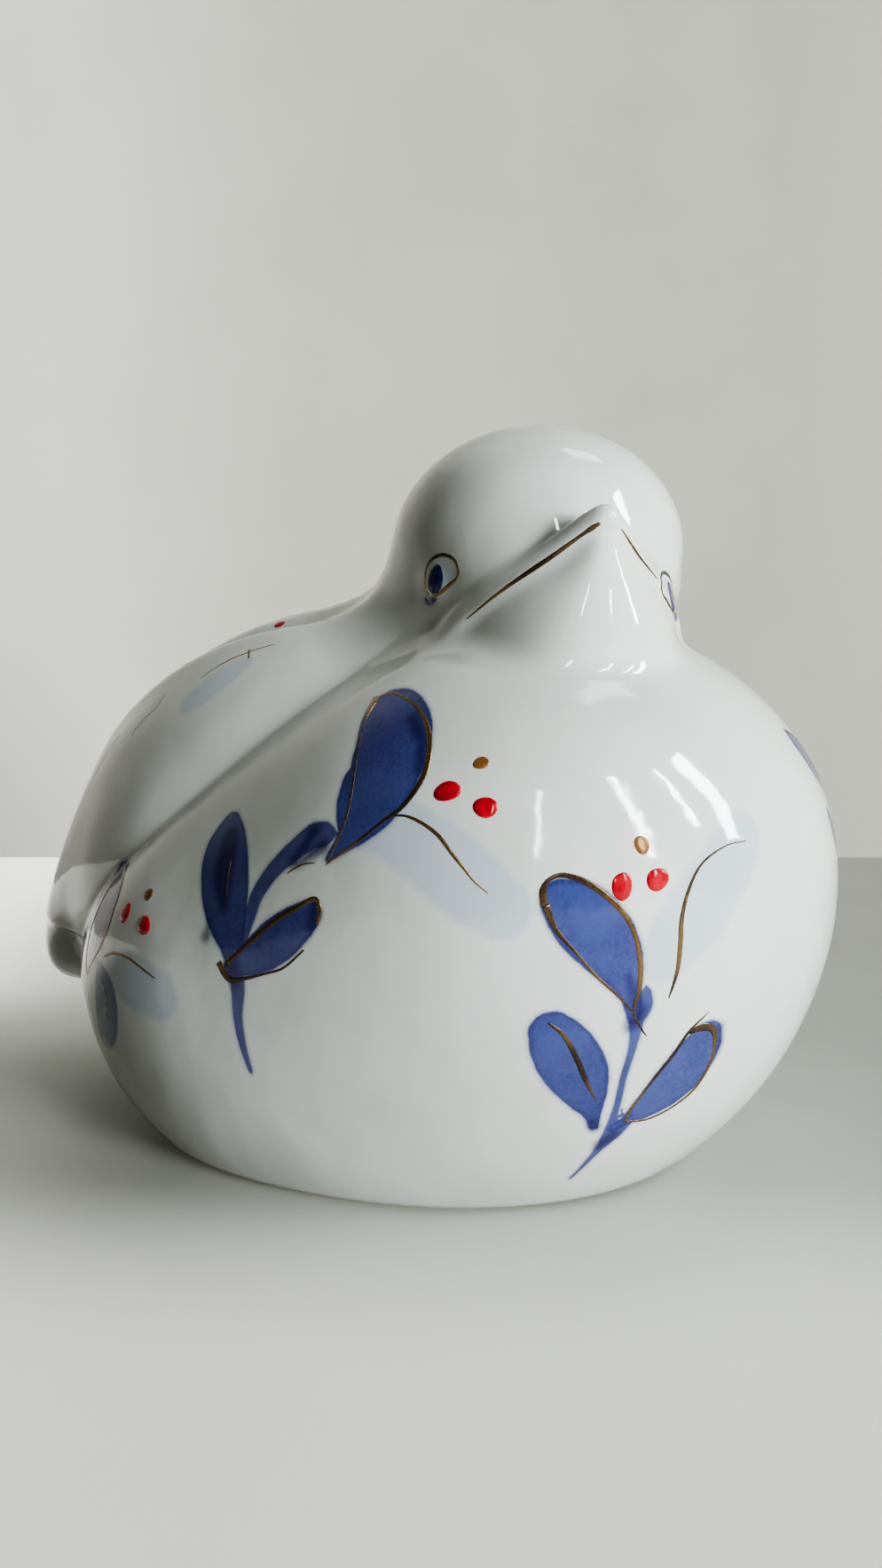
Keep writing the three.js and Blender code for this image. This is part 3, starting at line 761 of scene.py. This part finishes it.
leaf = ramp(tree, leaf_edge, *BRUSH_EDGE)
stem = ramp(tree, stem_edge, *BRUSH_EDGE)
bleed = ramp(tree, maths(tree, "MINIMUM", leaf_edge, stem_edge), 0.9, -0.1, 0, 0.3)
pool = ramp(tree, pool_edge, 1, -1.2)
wash = ramp(tree, wash_edge, 0.9, -0.9, 0, 0.5)
mottle = noise(tree, GRAIN["mottle"], 4, where, 0.75)
patches = noise(tree, GRAIN["patches"], 3, where, 0.6)
loaded = ramp(tree, patches, 0.3, 0.7, 0, 0.45)
loaded = maths(tree, "ADD", loaded, ramp(tree, mottle, 0.35, 0.65, 0, 0.3))
loaded = maths(tree, "ADD", loaded, ramp(tree, leaf_edge, -1.1, -0.1, 0, 0.4))
loaded = maths(tree, "ADD", loaded, ramp(tree, attribute(tree, "brush_along"), 0.35, 1, 0, 0.2))
cobalt = mix(tree, ramp(tree, loaded, 0.1, 1.15), COBALT_THIN, COBALT)
stem_tone = mix(tree, ramp(tree, patches, 0.3, 0.7), COBALT_THIN, COBALT)
cloud = noise(tree, GRAIN["cloud"], 2, where)
clay = mix(tree, ramp(tree, cloud, 0.3, 0.7), WHITE, SHADED_WHITE)
tone = mix(tree, wash, clay, WASH)
tone = mix(tree, bleed, tone, COBALT_THIN)
tone = mix(tree, maths(tree, "MULTIPLY", stem, 0.92), tone, stem_tone)
tone = mix(tree, maths(tree, "MULTIPLY", leaf, 0.97), tone, cobalt)
tone = mix(tree, maths(tree, "MULTIPLY", pool, 0.85), tone, COBALT_DARK)
cells = add_node(tree, "ShaderNodeTexVoronoi", None, Vector=where, Scale=PINHOLE_CELLS)
lot = add_node(tree, "ShaderNodeSeparateColor", None, i0=cells.outputs["Color"]).outputs[0]
chosen = ramp(tree, lot, PINHOLE_SHARE, PINHOLE_SHARE + 0.01)
speck = maths(tree, "MULTIPLY", ramp(tree, cells.outputs["Distance"], 0.02, 0.012), chosen)
tone = mix(tree, speck, tone, PINHOLE)
foot = ramp(tree, maths(tree, "ADD", attribute(tree, "bare_foot"), edge_wobble), 0.9, 0.5)
tone = mix(tree, foot, tone, BISCUIT)
tree.links.new(tone, shader.inputs["Base Color"])
gloss = ramp(tree, noise(tree, GRAIN["gloss"], 2, where), 0.3, 0.7, 0.05, 0.09)
rough = maths(tree, "MAXIMUM", gloss, maths(tree, "MULTIPLY", foot, 0.7))
tree.links.new(rough, shader.inputs["Roughness"])
shader.inputs["IOR"].default_value = GLAZE_IOR
ripple, peel, swell = (noise(tree, RELIEF[name], 2, where) for name in ("ripple", "peel", "swell"))
height = maths(tree, "ADD", ripple, maths(tree, "MULTIPLY", swell, 0.2))
height = maths(tree, "ADD", height, maths(tree, "MULTIPLY", peel, 0.05))
height = maths(tree, "SUBTRACT", height, maths(tree, "MULTIPLY", speck, 0.3))
bumps = add_node(tree, "ShaderNodeBump", None, Strength=0.8, Distance=0.0008, Height=height)
tree.links.new(bumps.outputs[0], shader.inputs["Normal"])
bird.data.materials.append(glaze)

# The gold: fired lustre lines along the leaves, tendrils between them, and the closing line of
# the bill. Each line is a low bead on the glaze, browner where it was drawn thin.
LINE_RISE, LINE_SINK = 0.07, 0.25
LINE_PROFILE = [(-1, 0), (-0.6, 0.75), (0, 1), (0.6, 0.75), (1, 0)]
LINE_SLENDERNESS, PAINT_LIFT = 0.22, 0.012
LINE_STEP = 0.45
DRAPE_FROM, DRAPE_STEPS, DRAPE_LARGEST, DRAPE_MISS = 14, 16, 6, 0.3


def drape(place, flat):
    start = place["origin"] + flat[:, :1] * place["right"] + flat[:, 1:2] * place["up"]
    height = np.full(len(start), float(DRAPE_FROM))
    for _ in range(DRAPE_STEPS):
        gap = bird_distance(start + place["normal"] * height[:, None])
        height -= np.minimum(gap, DRAPE_LARGEST)
    return settle(start + place["normal"] * height[:, None], 2), np.abs(gap) < DRAPE_MISS


def bead(centres, radii, points, faces):
    along = np.gradient(centres, axis=0)
    normals = normals_of(centres)
    across = np.cross(along, normals)
    across /= np.linalg.norm(across, axis=-1, keepdims=True) + 1e-12
    ring = []
    for share, rise in LINE_PROFILE:
        edge = settle(centres + across * (radii * share)[:, None])
        lift = rise * np.minimum(radii * LINE_SLENDERNESS, LINE_RISE) + PAINT_LIFT
        ring.append(edge + normals * lift[:, None])
    for share in (0.8, -0.8):
        ring.append(centres + across * (radii * share)[:, None] - normals * LINE_SINK)
    ring = np.stack(ring, 1)
    first = sum(len(block) for block in points)
    points.append(ring.reshape(-1, 3))
    size, count = ring.shape[1], len(centres)
    for row in range(count - 1):
        for turn in range(size):
            after = (turn + 1) % size
            a, b = first + row * size, first + (row + 1) * size
            faces.append((a + turn, b + turn, b + after, a + after))
    faces.append(tuple(first + turn for turn in range(size)))
    faces.append(tuple(first + (count - 1) * size + turn for turn in reversed(range(size))))


def evenly(row, step=LINE_STEP):
    lengths = lengths_along(row[:, :-1])
    marks = np.linspace(0, lengths[-1], max(int(lengths[-1] / step), 4))
    return np.stack([np.interp(marks, lengths, row[:, axis]) for axis in range(row.shape[1])], -1)


line_points, line_faces = [], []
for sprig, place in SPRIGS:
    for touches in sprig.get("gold_line", ()):
        row = evenly(smooth_path(touches))
        centres, on_skin = drape(place, row[:, :2])
        if on_skin.all():
            bead(centres, row[:, 2], line_points, line_faces)

# The closing line of the bill runs back from the tip on both sides; (length back, radius).
BILL_LINES = [
    (-1, [
        (0.6, 0.24), (1.6, 0.42), (3, 0.28), (6, 0.36), (10, 0.42), (14, 0.34), (18, 0.22), (22, 0.1),
    ]),
    (1, [(1.6, 0.1), (4, 0.2), (7, 0.24), (10, 0.18), (12.4, 0.1)]),
]


BILL_LINE_HEIGHT, BILL_LINE_STEP = -0.5, 0.3


def bill_edge(behind, side):
    across = BILL["spread"] * np.sqrt((behind + BILL["tip_radius"]) ** 2 - BILL["tip_radius"] ** 2)
    local = np.stack([-behind, side * across, np.full(len(behind), BILL_LINE_HEIGHT)], -1)
    return settle(bill_tip + local @ BILL_AXES, 5)


for side, touches in BILL_LINES:
    row = evenly(smooth_path(touches), BILL_LINE_STEP)
    bead(bill_edge(row[:, 0], side), row[:, 1], line_points, line_faces)

gold_lines = mesh_object("gold_lines", np.concatenate(line_points), line_faces)
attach(gold_lines, "root")


def effect(name, takes, gives):
    group = bpy.data.node_groups.new(name, "ShaderNodeTree")
    for side, sockets in (("INPUT", takes), ("OUTPUT", gives)):
        for label, kind in sockets.items():
            group.interface.new_socket(label, in_out=side, socket_type="NodeSocket" + kind)
    return group, group.nodes.new("NodeGroupInput").outputs, group.nodes.new("NodeGroupOutput").inputs


def finish_with(tree, shader, group, **inputs):
    placed = add_node(tree, "ShaderNodeGroup", {"node_tree": group}, **inputs)
    for socket in placed.outputs:
        if socket.name in shader.inputs:
            tree.links.new(socket, shader.inputs[socket.name])
    return placed


# Fired gold is brighter where it lies thick and burnt brown where it is thin.
burnt_lustre, takes, gives = effect(
    "burnt_lustre",
    {"Place": "Vector", "Bright": "Color", "Burnt": "Color", "Metal": "Float", "Burnt Metal": "Float"},
    {"Base Color": "Color", "Metallic": "Float", "Roughness": "Float", "Height": "Float"},
)
patchy = ramp(burnt_lustre, noise(burnt_lustre, 75, 2, takes["Place"]), 0.35, 0.62)
feed(burnt_lustre, gives["Base Color"], mix(burnt_lustre, patchy, takes["Bright"], takes["Burnt"]))
metal = ramp(burnt_lustre, patchy, 0, 1, takes["Metal"], takes["Burnt Metal"])
feed(burnt_lustre, gives["Metallic"], metal)
polish = ramp(burnt_lustre, noise(burnt_lustre, 900, 2, takes["Place"]), 0.3, 0.7, 0.16, 0.34)
feed(burnt_lustre, gives["Roughness"], polish)
feed(burnt_lustre, gives["Height"], noise(burnt_lustre, 1500, 3, takes["Place"]))


def gild(piece, name, **looks):
    gold, tree, shader = material(name)
    lustre = finish_with(tree, shader, burnt_lustre, Place=object_place(tree), **looks)
    grain = {"Strength": 0.35, "Distance": 0.00008, "Height": lustre.outputs["Height"]}
    bumps = add_node(tree, "ShaderNodeBump", None, **grain)
    tree.links.new(bumps.outputs[0], shader.inputs["Normal"])
    piece.data.materials.append(gold)


LINE_LOOKS = {"Bright": (0.3, 0.195, 0.105, 1), "Burnt": (0.075, 0.048, 0.03, 1)}
gild(gold_lines, "gold_lustre", Metal=0.9, Burnt_Metal=0.55, **LINE_LOOKS)

# The irises: one drop of thick cobalt in each eye. The brush left it slightly domed, and it
# fired to a deep gloss.
DROP_RINGS, DROP_SPOKES = 7, 36
DROP_DOME, DROP_SINK = 3.5, 0.2
DROP_SEED = 11
IRIS_RISE, IRIS_WOBBLE = 0.05, 0.03


def drop_outline(chance, wobble, turns):
    oval = wobble * np.sin(turns * 2 + chance.uniform(0, 6))
    return 1 + oval + wobble / 2 * np.sin(turns * 3 + chance.uniform(0, 6))


def drops(name, blots, rise, wobble=0.06):
    points, faces = [], []
    chance = np.random.default_rng(DROP_SEED)
    turns = np.linspace(0, 2 * math.pi, DROP_SPOKES, endpoint=False)
    shares = np.concatenate([np.linspace(0, 1, DROP_RINGS + 1)[1:], [1]])
    for place, (right, up, wide, tall, lean) in blots:
        outline = drop_outline(chance, wobble, turns)
        tilt = math.radians(lean)
        leaned = np.array([[math.cos(tilt), math.sin(tilt)], [-math.sin(tilt), math.cos(tilt)]])
        flat, lifts = [np.array([[right, up]])], [np.array([rise])]
        for number, share in enumerate(shares):
            x, y = np.cos(turns) * wide * share * outline, np.sin(turns) * tall * share * outline
            flat.append(np.stack([x, y], -1) @ leaned + (right, up))
            dome = rise * (1 - share**DROP_DOME) + PAINT_LIFT
            lifts.append(np.full(DROP_SPOKES, -DROP_SINK if number == DROP_RINGS else dome))
        surface, on_skin = drape(place, np.concatenate(flat))
        if not on_skin.all():
            continue
        first = sum(len(block) for block in points)
        points.append(surface + normals_of(surface) * np.concatenate(lifts)[:, None])
        panel_side = np.dot(np.cross(place["right"], place["up"]), place["normal"])
        turnwise = 1 if panel_side > 0 else -1
        for spoke in range(DROP_SPOKES):
            after = (spoke + 1) % DROP_SPOKES
            faces.append([first, first + 1 + spoke, first + 1 + after][::turnwise])
            for ring in range(DROP_RINGS):
                a = first + 1 + ring * DROP_SPOKES
                b = a + DROP_SPOKES
                faces.append([a + spoke, b + spoke, b + after, a + after][::turnwise])
        last = first + 1 + DROP_RINGS * DROP_SPOKES
        faces.append([last + spoke for spoke in range(DROP_SPOKES)][::-turnwise])
    return mesh_object(name, np.concatenate(points), faces)


def blots_of(kind):
    return [(place, blot) for sprig, place in SPRIGS for blot in sprig.get(kind, ())]


# Colour that settled in firing: deeper and glossier in some spots than in others.
settled_colour, takes, gives = effect(
    "settled_colour",
    {
        "Place": "Vector", "Grain": "Float", "Low": "Float", "High": "Float", "First Tint": "Color",
        "Second Tint": "Color", "First Roughness": "Float", "Second Roughness": "Float",
    },
    {"Base Color": "Color", "Roughness": "Float"},
)
settled = noise(settled_colour, takes["Grain"], 3, takes["Place"])
settled = ramp(settled_colour, settled, takes["Low"], takes["High"])
tinted = mix(settled_colour, settled, takes["First Tint"], takes["Second Tint"])
feed(settled_colour, gives["Base Color"], tinted)
smoothness = ramp(settled_colour, settled, 0, 1, takes["First Roughness"], takes["Second Roughness"])
feed(settled_colour, gives["Roughness"], smoothness)


def colour_drops(piece, name, **looks):
    colour, tree, shader = material(name)
    finish_with(tree, shader, settled_colour, Place=object_place(tree), **looks)
    piece.data.materials.append(colour)


irises = drops("eye_irises", [(place, IRIS) for place in eye_panels], IRIS_RISE, IRIS_WOBBLE)
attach(irises, "root")
IRIS_LOOKS = {
    "Grain": 700, "Low": 0.35, "High": 0.65, "First_Tint": (0.008, 0.01, 0.09, 1),
    "Second_Tint": (0.024, 0.034, 0.2, 1), "First_Roughness": 0.05, "Second_Roughness": 0.09,
}
colour_drops(irises, "iris_cobalt", **IRIS_LOOKS)

# The red berries: round drops of red enamel, set on the finished glaze in pairs and fired once
# more. They stand a little proud and shine.
BERRY_RISE = 0.22
berries = drops("red_berries", blots_of("berry"), BERRY_RISE)
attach(berries, "root")
BERRY_LOOKS = {
    "Grain": 420, "Low": 0.3, "High": 0.7, "First_Tint": (0.66, 0.035, 0.05, 1),
    "Second_Tint": (0.45, 0.012, 0.022, 1), "First_Roughness": 0.08, "Second_Roughness": 0.14,
}
colour_drops(berries, "red_enamel", **BERRY_LOOKS)

# The gold drops: one small dot of lustre over each pair of berries, laid thicker and duller
# than the lines, so it fired to amber.
GOLD_DROP_RISE = 0.12
gold_drops = drops("gold_drops", blots_of("gold_drop"), GOLD_DROP_RISE)
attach(gold_drops, "root")
DROP_LOOKS = {"Bright": (0.42, 0.2, 0.07, 1), "Burnt": (0.2, 0.1, 0.035, 1)}
gild(gold_drops, "gold_lustre_drop", Metal=0.4, Burnt_Metal=0.2, **DROP_LOOKS)

# The room: a pale table that ends at a pale wall, both with painted light on them, soft daylight
# from the front, tall panes that show in the glaze, and a weak warm glow from the side. The camera
# stands a little below the bird's eyes. Sizes here are metres.
WALL = {"heading": 60, "away": 0.3485, "left_end": -2.9904, "right_end": 3.0096, "height": 3}
TABLE_DEPTH = 5
heading = math.radians(WALL["heading"])
to_wall = np.array((math.sin(heading), math.cos(heading), 0))
along_wall = np.array((math.cos(heading), -math.sin(heading), 0))


def sheet_object(name, corners):
    mesh = bpy.data.meshes.new(name)
    mesh.from_pydata([tuple(corner) for corner in corners], [], [(0, 1, 2, 3)])
    made = bpy.data.objects.new(name, mesh)
    bpy.context.scene.collection.objects.link(made)
    return made


far_left = to_wall * WALL["away"] + along_wall * WALL["left_end"]
far_right = to_wall * WALL["away"] + along_wall * WALL["right_end"]
near_left, near_right = far_left - to_wall * TABLE_DEPTH, far_right - to_wall * TABLE_DEPTH
wall_top = (0, 0, WALL["height"])
table = sheet_object("table", [near_left, near_right, far_right, far_left])
wall = sheet_object("wall", [far_left, far_right, far_right + wall_top, far_left + wall_top])

# Both carry painted light. Their colour is lighter at the left end of the wall and darker at the right,
# for daylight falling off along it. They also give off a faint light of themselves in front of the bird
# and in the far left corner, where daylight falls on them. It stays where it is in the room from every
# side.
PAINTED_LIGHT_FADE_ALONG = (-0.29, 0.26)
CLOUDS, CLOUDINESS = 14, 0.12
FRONT_PAINTED_LIGHT, FRONT_PAINTED_LIGHT_SHARE = (-0.0355, -0.0955), 0.42
CORNER_PAINTED_LIGHT, CORNER_PAINTED_LIGHT_LEFT = (0.0245, 0.1045), (-0.05, -0.19)
PAINTED_LIGHT_TINT = (1, 1, 0.96, 1)
painted_room_light, takes, gives = effect(
    "painted_room_light",
    {"Place": "Vector", "Left Tint": "Color", "Right Tint": "Color"},
    {"Base Color": "Color", "Emission Color": "Color"},
)


def measured(direction):
    settings = {"operation": "DOT_PRODUCT"}
    node = add_node(painted_room_light, "ShaderNodeVectorMath", settings, i0=takes["Place"], i1=direction)
    return node.outputs["Value"]


# Painted light: the colour runs from the lit left tint to the dim right tint along the wall, for
# daylight falling off.
along = measured(along_wall)
clouds = ramp(painted_room_light, noise(painted_room_light, CLOUDS, 5, takes["Place"]), 0.3, 0.7)
clouds = maths(painted_room_light, "MULTIPLY", clouds, CLOUDINESS)
share = maths(painted_room_light, "ADD", ramp(painted_room_light, along, *PAINTED_LIGHT_FADE_ALONG), clouds)
tint = mix(painted_room_light, share, takes["Left Tint"], takes["Right Tint"])
feed(painted_room_light, gives["Base Color"], tint)
# Painted light: the table and wall give off faint light of themselves in front of the bird and in the
# far left corner.
from_bird = measured(to_wall)
front_painted_light = ramp(painted_room_light, from_bird, *FRONT_PAINTED_LIGHT, 0, FRONT_PAINTED_LIGHT_SHARE)
left_end = ramp(painted_room_light, along, *CORNER_PAINTED_LIGHT_LEFT)
corner_painted_light = maths(painted_room_light, "MULTIPLY", ramp(painted_room_light, from_bird, *CORNER_PAINTED_LIGHT), left_end)
painted_light_colour = mix(painted_room_light, maths(painted_room_light, "MAXIMUM", front_painted_light, corner_painted_light), (0, 0, 0, 1), PAINTED_LIGHT_TINT)
feed(painted_room_light, gives["Emission Color"], painted_light_colour)

STAGE_PAINT_AND_LIGHT = [
    # piece, name, lit left tint, dim right tint, roughness, strength of the painted light it gives off
    (table, "table_paint_with_painted_light", (0.78, 0.8, 0.74, 1), (0.48, 0.5, 0.47, 1), 0.45, 0.85),
    (wall, "wall_paint_with_painted_light", (0.95, 0.93, 0.84, 1), (0.54, 0.53, 0.47, 1), 0.8, 0.15),
]
for stage, name, lit_left_tint, dim_right_tint, roughness, painted_light_strength in STAGE_PAINT_AND_LIGHT:
    coat, tree, shader = material(name)
    lit_and_dim_tints = {"Left_Tint": lit_left_tint, "Right_Tint": dim_right_tint}
    finish_with(tree, shader, painted_room_light, Place=object_place(tree), **lit_and_dim_tints)
    shader.inputs["Emission Strength"].default_value = painted_light_strength
    shader.inputs["Roughness"].default_value = roughness
    stage.data.materials.append(coat)

# The table throws no light back itself: the table_bounce lamp, below it, shines through instead.
table.visible_diffuse = False
table.visible_shadow = False

LIT_POINT = (-0.02, -0.05, 0.07)
LIGHTS = [
    # name, azimuth, elevation, distance, width, height, watts, tint, and what it does: "light"
    # lights surfaces, "shine" only shows in the glaze, "both" does both
    ("daylight", -17, 8, 1.5, 0.5, 0.5, 26, (0.97, 1, 0.97), "light"),
    ("window_light", 8, 30, 1.5, 0.6, 0.8, 5, (0.93, 0.985, 1), "light"),
    ("window_pane", 18, 30, 1.5, 0.17, 0.9, 17, (0.93, 0.985, 1), "shine"),
    ("next_pane", 3, 34, 1.5, 0.04, 0.7, 5.5, (0.93, 0.985, 1), "shine"),
    ("side_pane", -21, 32, 1.5, 0.05, 0.95, 7.5, (0.93, 0.985, 1), "shine"),
    ("curtain_gap", -59, 32, 1.5, 0.06, 0.75, 4, (0.93, 0.985, 1), "shine"),
    ("skylight", 68, 68, 1.4, 0.3, 0.34, 1.4, (0.93, 0.985, 1), "both"),
    ("room_side", -110, 0, 1.5, 0.8, 0.8, 1.1, (1, 0.9, 0.74), "light"),
    ("table_bounce", -10, -32, 1.5, 0.9, 0.9, 6.5, (1, 0.99, 0.95), "light"),
]
for name, azimuth, elevation, distance, wide, tall, watts, tint, does in LIGHTS:
    turn, lift = math.radians(azimuth), math.radians(elevation)
    level = np.array((math.sin(turn), -math.cos(turn), 0)) * math.cos(lift)
    data = bpy.data.lights.new(name, "AREA")
    data.shape, data.size, data.size_y = "RECTANGLE", wide, tall
    data.energy, data.color = watts, tint
    lamp = bpy.data.objects.new(name, data)
    bpy.context.scene.collection.objects.link(lamp)
    lamp.location = (level + (0, 0, math.sin(lift))) * distance + LIT_POINT
    lamp.rotation_euler = (math.radians(90 - elevation), 0, turn)
    lamp.visible_glossy = does != "light"
    lamp.visible_diffuse = does != "shine"

ROOM_TINT, ROOM_GLOW = (0.95, 0.88, 0.76, 1), 0.2
world = bpy.data.worlds.new("room_light")
world.use_nodes = True
background = world.node_tree.nodes["Background"]
background.inputs["Color"].default_value = ROOM_TINT
background.inputs["Strength"].default_value = ROOM_GLOW
world.cycles_visibility.diffuse = False
bpy.context.scene.world = world
bpy.context.scene.view_settings.view_transform = "AgX"
bpy.context.scene.view_settings.look = "AgX - High Contrast"

CAMERA = {"place": (-0.19913, -0.12610, 0.088), "tilt": 85.14, "heading": -60, "lens": 26}
camera_data = bpy.data.cameras.new("camera")
camera_data.lens = CAMERA["lens"]
camera_data.clip_start = 0.01
camera = bpy.data.objects.new("camera", camera_data)
bpy.context.scene.collection.objects.link(camera)
camera.location = CAMERA["place"]
camera.rotation_euler = (math.radians(CAMERA["tilt"]), 0, math.radians(CAMERA["heading"]))
bpy.context.scene.camera = camera
